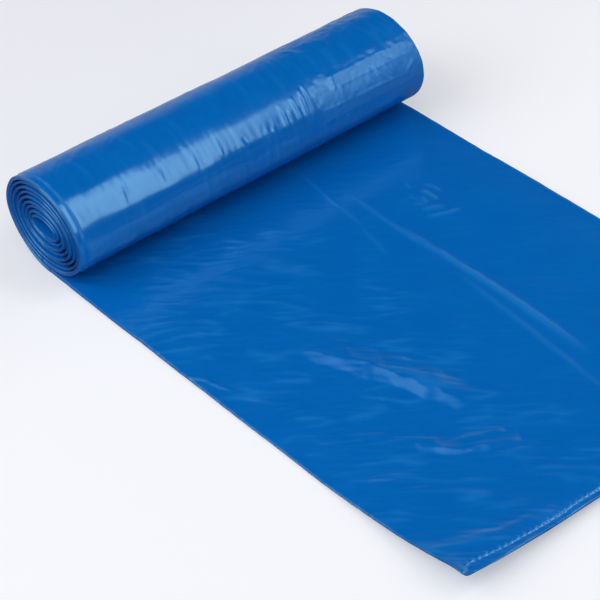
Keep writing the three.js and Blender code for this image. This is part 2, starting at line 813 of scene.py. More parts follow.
@dataclass
class FreeBag(WebStretch):
    """The bag that lies free, from its torn end to the underside of the roll.

    Its creases and wrinkles are placed by x and by the distance from the roll's axis. All
    lengths are in millimetres. Wrinkles down to about 2 mm wide fit its mesh.

    Attributes:
        end_length: How much of the torn end has close rows, for the seal.
        end_rows: Rows there.
        body_rows: Rows in the rest.
        fan: Fine wrinkles on the left.
        fan_highlight: Strength of the painted highlight on their tops, at most.
        crease_full: Height of a crease whose painted highlight is full.
        crease_highlight: Strength of that painted highlight.
        broad_swells: Low waves where air is caught between the folds.
        slant_swells: Narrower ones that run aslant.
        swell_slant: How much they lean.
        swell_rise: From where to where the swells grow, away from the roll.
        near_cluster: Crumpled film round the cluster of small creases.
        cluster_x: Where across the web that is.
        cluster_out: Where it is away from the roll.
        near_streak: Crumpled film round the bright streak.
        streak_x: Where across the web that is.
        streak_out: Where it is away from the roll.
        streak_lean: How far the streak leans to the left for each millimetre outward.
        streak_pivot: Distance from the roll at which the lean counts as none.
        grip: From where to where the roll stops pressing the wrinkles flat.
        slack: From where to where it stops pressing the sides thick.
        pinched: Thickness at the seal.
        opened: Thickness of the loose skirt's end.
        swollen: Thickness where air is caught behind the seal.
        skirt_pinch: From where to where the skirt gets thinner, from the seal.
        swell_start: From where to where the film thickens behind it.
        swell_end: From where to where it thins again.
        side_flat: How much flatter the sides are.
        show_through: How much of a wrinkle shows on the underside of lifted film.
        clear: Height above the surface at which it all shows.
        side_waves: How straight the folded sides are.
        side_ripples: Shorter waves in them.
        side_zone: Width of film that moves with a side.
    """

    # Creases along the web, to the right of its middle.
    LONG_CREASES = (
        Crease((37, 56), (35, 118), 0.3, 1.7, bow=0.6, steepness=1.2),
        Crease((36, 96), (34, 236), 0.45, 2.8, bow=-2.2, steepness=1.2, wander=0.6),
        Crease((31, 146), (19, 262), 0.24, 1.7, bow=-0.6, steepness=0.8),
        Crease((31, 24), (23, 88), 0.28, 1.3, bow=0.5, steepness=1.2),
        Crease((22, 84), (16, 112), 0.2, 1.6),
    )
    # A cluster of small creases on the right.
    CRINKLES = (
        Crease((71, 79), (73, 91), 0.36, 1.2, bow=-1.6),
        Crease((66, 82), (67, 95), 0.4, 1.4, bow=-0.9, steepness=1.3),
        Crease((63, 87), (61, 94), 0.45, 1.0, steepness=1.6),
        Crease((58, 82), (60, 90), 0.25, 1.0),
        Crease((56, 88), (60, 94), 0.25, 1.1),
        Crease((65, 72), (64, 78), 0.3, 1.0),
        Crease((53, 101), (71, 109), 0.5, 1.3, bow=0.8, steepness=1.4),
        Crease((55, 95), (67, 101), 0.35, 2.2, steepness=1.3),
    )
    # Short creases at the left side.
    EDGE_CREASES = (
        Crease((-118, 114), (-111, 126), 0.6, 1.0, bow=-0.8, steepness=1.3),
        Crease((-112, 124), (-107, 138), 0.5, 1.1, bow=0.5, steepness=1.3),
    )
    # Bright streaks left of the middle, and smaller ones towards the torn end.
    STREAKS = (
        Crease(
            (-65, 136), (-32, 226), 1.7, 4.0,
            bow=-3.0, steepness=0.6, wander=2.4, profile=Profile.TENT,
        ),
        Crease((-83, 207), (-60, 230), 0.5, 1.1, steepness=1.4),
        Crease((-80, 216), (-62, 231), 0.5, 2.4),
        Crease(
            (-72, 226), (-33, 255), 1.4, 2.6,
            bow=3.5, steepness=0.6, wander=2.0, profile=Profile.TENT,
        ),
        Crease(
            (-55, 238), (-34, 246), 0.9, 1.9,
            bow=-1.0, steepness=0.8, wander=1.5, profile=Profile.TENT,
        ),
        Crease((-56, 251), (-33, 263), 0.5, 1.8),
        Crease((-103, 192), (-72, 212), 0.35, 1.4, bow=0.9),
        Crease((-109, 220), (-79, 244), 0.38, 1.2, bow=1.5),
        Crease((-102, 227), (-86, 238), 0.3, 1.2, bow=-0.5),
        Crease((-101, 237), (-80, 253), 0.4, 1.3, bow=2.0),
        Crease((-112, 195), (-99, 200), 0.35, 1.1),
        Crease((-114, 284), (-56, 298), 0.55, 2.8, bow=3.0, steepness=1.6, profile=Profile.TENT),
        Crease((-109, 281), (-87, 291), 0.32, 1.7, bow=1.0, steepness=1.4, profile=Profile.TENT),
    )

    name: str = "free_bag"
    top_steps: int = 246
    under_steps: int = 14
    end_length: float = 11.0
    end_rows: int = 33
    body_rows: int = 308
    fan: Fan = Fan()
    fan_highlight: float = 0.42
    crease_full: float = 0.45
    crease_highlight: float = 0.5
    broad_swells: Waves = Waves(21, 62, 74, 0.55, shift=0.4)
    slant_swells: Waves = Waves(22, 20, 60, 0.22)
    swell_slant: float = 0.5
    swell_rise: Span = (35, 120)
    near_cluster: Crumple = Crumple(31, 9, 7, 0.5)
    cluster_x: Hump = Hump(1, 16, 62)
    cluster_out: Hump = Hump(1, 16, 90)
    near_streak: Crumple = Crumple(32, 4.2, 13, 0.2)
    streak_x: Hump = Hump(1, 9, -56)
    streak_out: Hump = Hump(1, 34, 184)
    streak_lean: float = 0.4
    streak_pivot: float = 182.0
    grip: Span = (3, 16)
    slack: Span = (20, 60)
    pinched: float = 0.9
    opened: float = 1.15
    swollen: float = 2.2
    skirt_pinch: Span = (-4, -0.5)
    swell_start: Span = (1, 10)
    swell_end: Span = (8, 26)
    side_flat: Hump = Hump(0.3, 16)
    show_through: float = 0.35
    clear: float = 2.0
    side_waves: Waves = Waves(51, 34, height=0.35, row=2.5)
    side_ripples: Waves = Waves(52, 7, height=0.12)
    side_zone: float = 14.0

    @property
    def seal(self) -> HeatSeal:
        """The seal across its bottom."""
        return HeatSeal(self.form)

    @property
    def torn_end(self) -> TornEnd:
        """Its torn end."""
        return TornEnd(self.form)

    def rows(self) -> Array:
        """Say where each row lies, from the torn edge."""
        body = np.linspace(self.end_length, self.form.free_length, self.body_rows)
        return np.concatenate([np.linspace(0, self.end_length, self.end_rows), body[1:]])

    def crest(self, x: Array, along: Array) -> Array:
        """Mark painted highlights on the fan's wrinkles, the long creases and the seal's teeth.

        Args:
            x: Across the web.
            along: Distance from the torn edge.

        Returns:
            Strength of the painted highlight, from 0 to 1.
        """
        out = self.form.free_length - along
        creases = pressed((*self.LONG_CREASES, *self.CRINKLES), x, out)
        # Painted highlights on the creases, the fan's wrinkles and the seal's teeth.
        creased = self.crease_highlight * np.clip(creases / self.crease_full, 0, 1)
        fanned = self.fan_highlight * self.fan.air(x, out)
        return np.maximum(np.maximum(fanned, self.seal.air(x, along)), creased)

    def swells(self, x: Array, out: Array) -> Array:
        """Raise broad, low waves where air is caught between the folds.

        Args:
            x: Across the web.
            out: Distance from the roll's axis.

        Returns:
            Their height.
        """
        lean = self.swell_slant
        slanted = self.slant_swells.at(out - lean * x, x + lean * out)
        return (self.broad_swells.at(x, out) + slanted) * smooth_step(*self.swell_rise, out)

    def wrinkles(self, x: Array, out: Array) -> Array:
        """Add up everything that makes the top uneven.

        Args:
            x: Across the web.
            out: Distance from the roll's axis.

        Returns:
            Its height.
        """
        total = self.fan.at(x, out) + self.swells(x, out)
        total += pressed(
            (*self.LONG_CREASES, *self.CRINKLES, *self.EDGE_CREASES, *self.STREAKS), x, out
        )
        cluster = self.cluster_x.at(x) * self.cluster_out.at(out)
        total += cluster * self.near_cluster.at(x, out)
        aslant = x + self.streak_lean * (out - self.streak_pivot)
        streak = self.streak_x.at(aslant) * self.streak_out.at(out)
        total += streak * self.near_streak.at(aslant, out)
        return total * smooth_step(*self.grip, out)

    def stack(self, x: Array, along: Array) -> Array:
        """Work out how thick the folded film is: pinched at the seal, swollen behind it.

        Args:
            x: Across the web.
            along: Distance from the torn edge.

        Returns:
            Thickness of the stack.
        """
        past = self.seal.past(x, along)
        loose = self.pinched - self.opened
        skirt = self.opened + loose * smooth_step(*self.skirt_pinch, past)
        puffed = self.swollen - self.pinched
        behind = self.pinched + puffed * smooth_step(*self.swell_start, past)
        body = np.where(past < 0, skirt, behind)
        body += (self.form.thickness - self.swollen) * smooth_step(*self.swell_end, past)
        free = smooth_step(*self.slack, self.form.free_length - along)
        return body * (1 - self.side_flat.at(self.form.from_side(x)) * free)

    def sideways(self, x: Array, along: Array) -> Array:
        """Move the sides of the web: uneven folds and rounded torn corners.

        Args:
            x: Across the web.
            along: Distance from the torn edge.

        Returns:
            Where the points lie across.
        """
        wave = self.side_waves.at(along) + self.side_ripples.at(along)
        moved = wave * self.form.near_side(self.side_zone, x)
        return x + np.sign(x) * (moved - self.torn_end.rounding(x, along))

    def place(self, x: Array, level: Array, along: Array) -> tuple[Array, Array, Array]:
        """Lay the bag on the surface, with its end curling up.

        Args:
            x: Across the web.
            level: From 1 on top to -1 below.
            along: Distance from the torn edge.

        Returns:
            X, Y and Z of each point.
        """
        form = self.form
        up = (level + 1) / 2
        thickness = self.stack(x, along)
        wrinkles = self.wrinkles(x, form.free_length - along)
        lifted = form.lift(along, x)
        free = np.minimum(lifted / self.clear, 1)
        height = (thickness + wrinkles) * up + lifted
        height += self.show_through * np.maximum(wrinkles, 0) * free * (1 - up)
        height += self.seal.at(x, along) * level
        height = np.maximum(height - self.torn_end.droop(x, along), thickness * up)
        y = form.torn_y + along + self.torn_end.tear(x, level, along)
        return self.sideways(x, along), y, np.maximum(height, 0)


@dataclass
class RollTurns(WebStretch):
    """Turns of the wound web. The path's measure is the winding angle, 0 under the axis.

    Attributes:
        outer_turns: Where the outer turn ends and the inner ones start, in turns.
        end_sway: How each turn's edge stands out of the roll's end, in millimetres.
        end_ripples: Shorter waves in that.
        set_back: How far the edges are back from the solid's ends on average.
        end_zone: Distances from a side between which the film follows its edge.
        pinched: How much thinner the stack is at its folded sides, as a share.
        pinch_zone: Width of film that gets thinner.
        slack: How far the film stands out from its smooth turn.
    """

    top_shows: bool = False
    outer_turns: float = 1.03
    end_sway: Waves = Waves(71, 90, height=0.9, row=0.5)
    end_ripples: Waves = Waves(72, 21, height=0.3)
    set_back: float = 0.35
    end_zone: Span = (10, 1)
    pinched: float = 0.4
    pinch_zone: float = 6.0
    slack: Waves = Waves(73, 26, 60, 0.18)

    def web_length(self, along: Array) -> Array:
        """Distance from the torn edge, along the turns' middle line."""
        tightening = self.form.pitch * along ** 2 / (2 * FULL_TURN)
        return self.form.free_length + self.form.mean_radius * along - tightening

    def middle(self, along: Array) -> tuple[Array, Array, Array, Array]:
        """Follow the web's middle line.

        Args:
            along: Winding angle.

        Returns:
            Y from the axis, Z, and the Y and Z of the normal that points outward.
        """
        form = self.form
        inward = form.pitch * along / FULL_TURN
        wide = form.half_width - inward
        high = form.half_height - inward
        out_y = high * np.sin(along)
        out_z = -wide * np.cos(along)
        size = np.hypot(out_y, out_z)
        z = form.half_height + form.thickness / 2 - high * np.cos(along)
        return wide * np.sin(along), z, out_y / size, out_z / size

    def uneven_ends(self, x: Array, along: Array) -> Array:
        """Work out how far each turn's edge stands out of the roll's end.

        Args:
            x: Across the web.
            along: Winding angle.

        Returns:
            The distance, negative where the edge is set back.
        """
        form = self.form
        length, side = self.web_length(along), np.sign(x)
        sway = self.end_sway.at(length, side) + self.end_ripples.at(length, side)
        start, full = self.end_zone
        edge = smooth_step(form.half - start, form.half - full, np.abs(x))
        return (sway - self.set_back) * edge

    def pinch(self, x: Array) -> Array:
        """Say how much thinner the stack is towards its folded sides, as a share."""
        return self.pinched * self.form.near_side(self.pinch_zone, x)

    def outward(self, x: Array, along: Array) -> Array:
        """Say how far the film stands out from its smooth turn."""
        return self.slack.at(self.web_length(along), x)

    def place(self, x: Array, level: Array, along: Array) -> tuple[Array, Array, Array]:
        """Wind the web, with its folds a little uneven at the roll's ends.

        Args:
            x: Across the web.
            level: From 1 on the inside to -1 on the outside.
            along: Winding angle.

        Returns:
            X, Y and Z of each point.
        """
        form = self.form
        y, z, out_y, out_z = self.middle(along)
        away = self.outward(x, along) - level * form.thickness / 2 * (1 - self.pinch(x))
        grow = 1 - form.taper * x / form.half
        side = x + np.sign(x) * self.uneven_ends(x, along)
        place_y = form.axis_y + (y + out_y * away) * grow
        return side, place_y, np.maximum((z + out_z * away) * grow, 0)


@dataclass
class OuterTurn(RollTurns):
    """The turn that shows all round the roll, with the wrinkles that catch the light.

    They are placed by x and by the distance round the roll from its top, which grows towards
    the free bag. All lengths are in millimetres. Wrinkles down to about 1.5 mm wide fit.

    Attributes:
        row_count: Rows round the turn.
        crushed_side: From where to where across the web the right third starts to be hazy.
        crushed_edge: How that border strays.
        strip: The hazy strip below the top.
        strip_haze: How hazy it is.
        squeezed: The hazier film below it.
        squeezed_stray: How much of the border's straying that follows.
        hoop_stray: How the hoops stray, in spacings.
        hoops: Clear hoops round the roll.
        hoop_patches: Where they are.
        fine_hoops: Fine hoops between them.
        fine_height: Their height.
        fine_hoop_highlight: Strength of the painted highlight on their tops.
        sags: Broad unevenness of the whole turn.
        dents: Small dents.
        bands: Low bands along the roll.
        right_side: From where to where across the web the film gets crushed.
        crushed_film: Crushed film on the right.
        crushed_zone: Where it is, round the roll.
        finely_crushed: Finer facets in the bright band.
        finely_zone: Where they are, round the roll.
        back_slants: Slanting wrinkles on the back.
        slant_stray: How much they lean.
        back_zone: Where they are, round the roll.
        back_patches: Which of them show.
        rim_depth: Depth of the step near the left end.
        rim_zone: Distances from the left side between which it falls.
        flat_under: Cosines of the winding angle between which the surface flattens the film.
    """

    # A cluster of hoop creases right of the middle.
    CLUSTER = (
        Crease((22, 21), (22, 37), 0.3, 1.0, steepness=1.6),
        Crease((26, 26), (25, 37), 0.35, 1.1, steepness=1.5),
        Crease((31, 20), (31, 38), 0.4, 1.1, steepness=1.6),
        Crease((38, 18), (36, 38), 0.5, 1.1, bow=0.5, steepness=1.7),
        Crease((41, 16), (38, 40), 0.6, 1.2, bow=-0.6, steepness=1.8),
        Crease((8, 30), (8, 39), 0.35, 1.1),
        Crease((12, 31), (13, 38), 0.25, 1.0),
    )
    # Creases in the crushed film on the right, and on the top of the roll.
    CRINKLES = (
        Crease((60, 18), (57, 29), 0.4, 1.2, steepness=1.6),
        Crease((62, 27), (61, 38), 0.5, 1.3, bow=0.8),
        Crease((86, 28), (95, 40), 0.45, 1.2, steepness=1.6),
        Crease((92, 27), (97, 39), 0.4, 1.1),
        Crease((80, 30), (85, 40), 0.3, 1.1),
        Crease((104, 40), (112, 33), 0.35, 1.1),
        Crease((44, 36), (68, 37), 0.3, 1.2, bow=0.8, steepness=1.4),
        Crease((66, 38), (109, 40), 0.3, 1.4, bow=-1.0, steepness=1.4),
        Crease((46, 20.5), (116, 21.5), 0.22, 1.3, steepness=0.7, wander=0.5),
        Crease((50, 27), (116, 28), 0.24, 1.2, steepness=1.5, wander=0.5),
        Crease((39, -8), (37, 9), 0.25, 1.2, bow=1.0),
        Crease((66, -8), (68, 5), 0.2, 1.1),
        Crease((48, -14), (56, 3), 0.25, 1.4, bow=-1.5),
    )
    # Faint marks across the bright band.
    TICKS = (
        Crease((-57, 22), (-58, 32), -0.12, 0.7),
        Crease((-7, 28), (-5, 36), -0.15, 0.8),
        Crease((-22, 22), (-22, 33), 0.15, 0.8),
        Crease((-38, 24), (-39, 35), 0.12, 0.8),
        Crease((-80, 20), (-83, 34), 0.12, 0.9),
    )

    name: str = "outer_turn"
    top_steps: int = 14
    under_steps: int = 290
    row_count: int = 262
    pinched: float = 0.0
    crushed_side: Span = (38, 50)
    crushed_edge: Waves = Waves(89, 9, 9, 4)
    strip: Zone = Zone(21, 27, 2)
    strip_haze: float = 0.3
    squeezed: Zone = Zone(28.5, 43, 2.5)
    squeezed_stray: float = 0.2
    hoop_stray: Waves = Waves(82, 20, 13, 0.3)
    hoops: Ridges = Ridges(81, 6.0, 50, 0.045, thin=0.2)
    hoop_patches: Patches = Patches(84, 22, 25, none=-0.2, full=0.6)
    fine_hoops: Waves = Waves(83, 3.4, 24)
    fine_height: float = 0.05
    fine_hoop_highlight: float = 0.22
    sags: Waves = Waves(85, 40, 26, 0.3)
    dents: Waves = Waves(90, 11, 15, 0.07)
    bands: Waves = Waves(92, 22, 9, 0.12)
    right_side: Span = (36, 52)
    crushed_film: Crumple = Crumple(86, 13, 11, 0.32)
    crushed_zone: Zone = Zone(-30, 44, 12)
    finely_crushed: Crumple = Crumple(93, 5, 4.5, 0.13)
    finely_zone: Zone = Zone(21, 39, 2)
    back_slants: Ridges = Ridges(87, 11, 50, 0.22, thin=0.22)
    slant_stray: float = 1.2
    back_zone: Zone = Zone(-60, 4, 14)
    back_patches: Patches = Patches(88, 30, 20, none=-0.2, full=0.4)
    rim_depth: float = 0.3
    rim_zone: Span = (4.6, 3.8)
    flat_under: Span = (0.72, 0.93)

    def rows(self) -> Array:
        """Say where each row lies, as winding angles."""
        return np.linspace(0, FULL_TURN * self.outer_turns, self.row_count)

    def from_top(self, along: Array) -> Array:
        """Distance round the roll from its top, positive towards the free bag."""
        return (along - math.pi) * self.form.mean_radius

    def strayed(self, waves: Waves, x: Array, down: Array) -> Array:
        """Read hoops that stray a little sideways on their way round the roll."""
        return waves.at(x + waves.wide * self.hoop_stray.at(x, down), down)

    def crushed(self, x: Array, along: Array) -> Array:
        """Mark the right third, which many hands have squeezed.

        Args:
            x: Across the web.
            along: Winding angle.

        Returns:
            How hazy it is, from 0 to 1.
        """
        down = self.from_top(along)
        uneven = self.crushed_edge.at(x, down)
        strip = self.strip_haze * self.strip.at(down)
        below = self.squeezed.at(down + self.squeezed_stray * uneven)
        return smooth_step(*self.crushed_side, x + uneven) * np.maximum(strip, below)

    def crest(self, x: Array, along: Array) -> Array:
        """Mark painted highlights on the tops of the fine hoops."""
        hoops = self.strayed(self.fine_hoops, x, self.from_top(along))
        return self.fine_hoop_highlight * np.clip(hoops, 0, 1)

    def outward(self, x: Array, along: Array) -> Array:
        """Raise hoop creases, crushed film on the right, and the step near the left end.

        Args:
            x: Across the web.
            along: Winding angle.

        Returns:
            How far the film stands out from its smooth turn.
        """
        down = self.from_top(along)
        total = self.strayed(self.hoops, x, down) * self.hoop_patches.at(x, down)
        total += self.fine_height * self.strayed(self.fine_hoops, x, down)
        for waves in (self.sags, self.dents, self.bands):
            total += waves.at(x, down)
        right = smooth_step(*self.right_side, x)
        total += right * self.crushed_film.at(x, down) * self.crushed_zone.at(down)
        total += right * self.finely_crushed.at(x, down) * self.finely_zone.at(down)
        total += pressed((*self.CLUSTER, *self.CRINKLES, *self.TICKS), x, down)
        slants = self.back_slants.at(x + self.slant_stray * down, x - down)
        total += slants * self.back_zone.at(down) * self.back_patches.at(x, down)
        start, full = self.rim_zone
        total -= self.rim_depth * smooth_step(start, full, x + self.form.half)
        return total * (1 - smooth_step(*self.flat_under, np.cos(along)))


@dataclass
class InnerTurns(RollTurns):
    """The turns inside the roll, whose folded edges show at its two ends.

    Attributes:
        turn_rows: Rows in each turn.
    """

    name: str = "inner_turns"
    fold_depth: float = 0.6
    turn_rows: int = 64

    def rows(self) -> Array:
        """Say where each row lies, from behind the outer turn to the eye.

        Returns:
            Their winding angles.
        """
        turns = (self.form.half_height - self.form.eye_half_height) / self.form.pitch
        first, last = FULL_TURN * self.outer_turns, FULL_TURN * turns
        return np.linspace(first, last, int(turns * self.turn_rows))


def add_node(
    tree: Tree,
    kind: str,
    settings: dict[str, object] | None = None,
    values: dict[str | int, object] | None = None,
    links: dict[str | int, Socket] | None = None,
) -> bpy.types.Node:
    """Add a node with its settings, constant inputs and linked inputs.

    Args:
        tree: Where the node goes.
        kind: The node's type, such as "ShaderNodeMix".
        settings: Properties of the node itself.
        values: Constants for its inputs, by name or number.
        links: Outputs of other nodes for its inputs, by name or number.

    Returns:
        The new node.
    """
    node = tree.nodes.new(kind)
    for key, value in (settings or {}).items():
        setattr(node, key, value)
    for key, value in (values or {}).items():
        node.inputs[key].default_value = value
    for key, output in (links or {}).items():
        tree.links.new(output, node.inputs[key])
    return node


def mix(tree: Tree, share: Socket, first: str | Socket, second: str | Socket) -> Socket:
    """Add a node that mixes two colours.

    Args:
        tree: Where the node goes.
        share: How much of the second colour there is.
        first: A hex colour, or another node's output.
        second: The same for the second colour.

    Returns:
        The mixed colour.
    """
    values, links = {}, {MIX_SHARE: share}
    for socket, colour in ((MIX_FIRST, first), (MIX_SECOND, second)):
        if isinstance(colour, str):
            values[socket] = linear(colour)
        else:
            links[socket] = colour
    node = add_node(tree, "ShaderNodeMix", {"data_type": "RGBA"}, values, links)
    return node.outputs[MIX_RESULT]


class Arithmetic(Enum):
    """What a node makes of two numbers."""

    PRODUCT = "MULTIPLY"
    LARGER = "MAXIMUM"


def work_out(tree: Tree, what: Arithmetic, first: Socket, second: Socket | float) -> Socket:
    """Add a node that works out one number from two.

    Args:
        tree: Where the node goes.
        what: What it makes of them.
        first: Another node's output.
        second: A number, or another node's output.

    Returns:
        The result.
    """
    node = add_node(tree, "ShaderNodeMath", {"operation": what.value}, links={0: first})
    if isinstance(second, float):
        node.inputs[1].default_value = second
    else:
        tree.links.new(second, node.inputs[1])
    return node.outputs["Value"]


class Easing(Enum):
    """How a value changes from one level to another, as the node names it."""

    EVEN = "LINEAR"
    SOFT = "SMOOTHSTEP"


@dataclass(frozen=True)
class Ramp:
    """A value that changes between two places and stays level outside them.

    Attributes:
        start: Where the change starts.
        end: Where it ends.
        low: Value at the start.
        high: Value at the end.
        easing: Whether it changes evenly, or starts and ends softly.
    """

    start: float = 0.0
    end: float = 1.0
    low: float = 0.0
    high: float = 1.0
    easing: Easing = Easing.EVEN

    def add(self, tree: Tree, value: Socket) -> Socket:
        """Add its node.

        Args:
            tree: Where the node goes.
            value: The other node's output that it follows.

        Returns:
            The changing value.
        """
        node = add_node(
            tree, "ShaderNodeMapRange", {"interpolation_type": self.easing.value},
            values={
                "From Min": self.start, "From Max": self.end,
                "To Min": self.low, "To Max": self.high,
            },
            links={"Value": value},
        )
        return node.outputs["Result"]


@dataclass(frozen=True)
class BlownFilm:
    """Blue low-density polyethylene, blown thin and folded in a stack.

    The pigment makes a deep, even blue. The surface is smooth from blowing, so it mirrors
    lamps as milky bands, and handling leaves fine wrinkles in it. A folded edge has painted
    shade under the fold, and the tops of wrinkles have painted highlights.

    Attributes:
        name: What this film is.
        wrinkle_turn: Direction of the finest wrinkles, in degrees from the web's length.
        wrinkle_mm: Their spacing, coarser than the real film's half millimetre, so that they
            show at all.
        wrinkle_height_mm: Their height.
        wrinkle_stretch: How many times longer than wide they are.
        pigment: Colour of a stack with air between its layers.
        deep: Colour where the layers touch.
        cloud_mm: Size of the places where they do.
        edge: Colour of the painted shade on a folded edge.
        crest: Colour of the painted highlight on the tops of wrinkles and the seal's teeth.
        fine_line_highlights: How much of that painted highlight the tops of the finest wrinkles
            get.
        gleam: Tint of a reflection, part of which comes from layers under the top one.
        layer_gloss: How much the layers reflect together, where 0.5 is a single surface.
        roughness: Haze of the surface.
        crushed_roughness: Haze where it is finely crushed.
        ior: Polyethylene is about 1.51.
        noise_layers: Layers of detail in the wrinkles and clouds.
        noise_fineness: How strong each finer layer of the wrinkles is.
    """

    name: str
    wrinkle_turn: float
    wrinkle_mm: float
    wrinkle_height_mm: float
    wrinkle_stretch: float = 8.0
    pigment: str = "0066B8"
    deep: str = "005FAF"
    cloud_mm: float = 25.0
    edge: str = "00488F"
    crest: str = "2583CB"
    fine_line_highlights: Ramp = Ramp(0.5, 0.8, 0.0, 0.14)
    gleam: str = "B2F0FF"
    layer_gloss: float = 1.0
    roughness: float = 0.18
    crushed_roughness: float = 0.38
    ior: float = 1.51
    noise_layers: float = 3.0
    noise_fineness: float = 0.55

    def finest(self, tree: Tree, film: Socket) -> Socket:
        """Draw the finest wrinkles.

        Args:
            tree: Where the nodes go.
            film: Place on the film, in metres.

        Returns:
            Their height, from 0 to 1.
        """
        turned = add_node(
            tree, "ShaderNodeMapping",
            values={"Rotation": (0, 0, math.radians(self.wrinkle_turn))}, links={"Vector": film},
        )
        per_metre = 1 / (self.wrinkle_mm * MM)
        stretched = add_node(
            tree, "ShaderNodeMapping",
            values={"Scale": (per_metre, per_metre / self.wrinkle_stretch, 1)},
            links={"Vector": turned.outputs["Vector"]},
        )
        noise = add_node(
            tree, "ShaderNodeTexNoise",
            values={"Scale": 1.0, "Detail": self.noise_layers, "Roughness": self.noise_fineness},
            links={"Vector": stretched.outputs["Vector"]},
        )
        return noise.outputs["Fac"]

    def colour(self, tree: Tree, film: Socket, fine: Socket) -> Socket:
        """Colour the film by depth, with painted highlights on crests and painted shade at folds.

        Args:
            tree: Where the nodes go.
            film: Place on the film, in metres.
            fine: Height of the finest wrinkles.

        Returns:
            The colour.
        """
        cloudy = add_node(
            tree, "ShaderNodeTexNoise",
            values={"Scale": 1 / (self.cloud_mm * MM), "Detail": self.noise_layers},
            links={"Vector": film},
        )
        blue = mix(tree, cloudy.outputs["Fac"], self.deep, self.pigment)
        # Painted highlights on the tops of wrinkles, from the mesh and from the finest wrinkles.
        wrinkle = add_node(tree, "ShaderNodeAttribute", {"attribute_name": FILM_CREST_HIGHLIGHT})
        lines = self.fine_line_highlights.add(tree, fine)
        crest_highlights = work_out(tree, Arithmetic.LARGER, wrinkle.outputs["Fac"], lines)
        wrinkled = mix(tree, crest_highlights, blue, self.crest)
        # Painted shade on the folded edges, darker where shade falls under the fold.
        side = add_node(tree, "ShaderNodeAttribute", {"attribute_name": FILM_EDGE_SHADE})
        return mix(tree, side.outputs["Fac"], wrinkled, self.edge)

    def material(self) -> bpy.types.Material:
        """Build the material from the film's own coordinates, which follow the web.

        Returns:
            The finished material.
        """
        material = bpy.data.materials.new(self.name)
        material.use_nodes = True
        tree = material.node_tree
        tree.nodes.clear()
        film = add_node(tree, "ShaderNodeUVMap", {"uv_map": FILM_MAP}).outputs["UV"]
        fine = self.finest(tree, film)
        crushed = add_node(tree, "ShaderNodeAttribute", {"attribute_name": FILM_CRUSHED})
        haze = Ramp(low=self.roughness, high=self.crushed_roughness)
        bump = add_node(
            tree, "ShaderNodeBump",
            values={"Strength": 1.0, "Distance": self.wrinkle_height_mm * MM},
            links={"Height": fine},
        )
        shader = add_node(
            tree, "ShaderNodeBsdfPrincipled",
            values={
                "IOR": self.ior,
                "Metallic": 0.0,
                "Specular IOR Level": self.layer_gloss,
                "Specular Tint": linear(self.gleam),
            },
            links={
                "Base Color": self.colour(tree, film, fine),
                "Roughness": haze.add(tree, crushed.outputs["Fac"]),
                "Normal": bump.outputs["Normal"],
            },
        )
        add_node(tree, "ShaderNodeOutputMaterial", links={"Surface": shader.outputs["BSDF"]})
        return material


@dataclass(frozen=True)
class PaleFloor:
    """A matt, painted board: pale all over, and without any mirror image of the object.

    In what the film mirrors, the floor is painted darker than where it is seen directly,
    most of all in front, which dims its reflections in the film. Bright walls fill the shadows
    on it, which an even glow does here for what is seen directly.

    Attributes:
        lit: Colour of the floor where it lights the object.
        seen: Its colour where it is seen directly, darker by the glow's share.
        glow_front: Colour of the glow on the front floor.
        glow_back: The same for the back floor, which is a little darker.
        glow_share: How much of the floor's brightness is this glow.
        mirrored_front: The front floor's colour in reflections.
        mirrored_back: The back floor's colour in reflections.
        backward: From where to where along Y the front turns into the back.
        roughness: Haze of the paint.
        gloss: How much it reflects, where 0.5 is a plain varnish.
        size: Length of its side in metres.
        gap_mm: How far under the object it lies, so that the two never flicker.
    """

    lit: str = "F2F3F6"
    seen: str = "C8C9CB"
    glow_front: str = "F5F7FC"
    glow_back: str = "DBDCE3"
    glow_share: float = 0.35
    mirrored_front: str = "3A3D44"
    mirrored_back: str = "B4B6BB"
    backward: Ramp = Ramp(0.05, 0.3)
    roughness: float = 0.7
    gloss: float = 0.2
    size: float = 12.0
    gap_mm: float = 0.02

    def material(self) -> bpy.types.Material:
        """Paint the board.

        Returns:
            The finished material.
        """
        material = bpy.data.materials.new("pale_floor")
        material.use_nodes = True
        tree = material.node_tree
        shader = tree.nodes["Principled BSDF"]
        ray = add_node(tree, "ShaderNodeLightPath").outputs
        where = add_node(tree, "ShaderNodeTexCoord")
        parts = add_node(tree, "ShaderNodeSeparateXYZ", links={0: where.outputs["Object"]})
        backward = self.backward.add(tree, parts.outputs["Y"])
        # Under glossy rays the floor is painted darker, which dims its reflections in the film.
        mirrored = mix(tree, backward, self.mirrored_front, self.mirrored_back)
        colour = mix(tree, ray["Is Glossy Ray"], self.lit, mirrored)
        seen = mix(tree, ray["Is Camera Ray"], colour, self.seen)
        glow = mix(tree, backward, self.glow_front, self.glow_back)
        strength = work_out(tree, Arithmetic.PRODUCT, ray["Is Camera Ray"], self.glow_share)
        tree.links.new(seen, shader.inputs["Base Color"])
        tree.links.new(glow, shader.inputs["Emission Color"])
        tree.links.new(strength, shader.inputs["Emission Strength"])
        shader.inputs["Roughness"].default_value = self.roughness
        shader.inputs["Specular IOR Level"].default_value = self.gloss
        return material

    def build(self) -> None:
        """Lay the floor just under the object."""
        grid = bmesh.new()
        bmesh.ops.create_grid(grid, x_segments=1, y_segments=1, size=self.size / 2)
        bmesh.ops.translate(grid, verts=grid.verts[:], vec=(0, 0, -self.gap_mm * MM))
        floor = film_object("floor", grid)
        floor.data.materials.append(self.material())


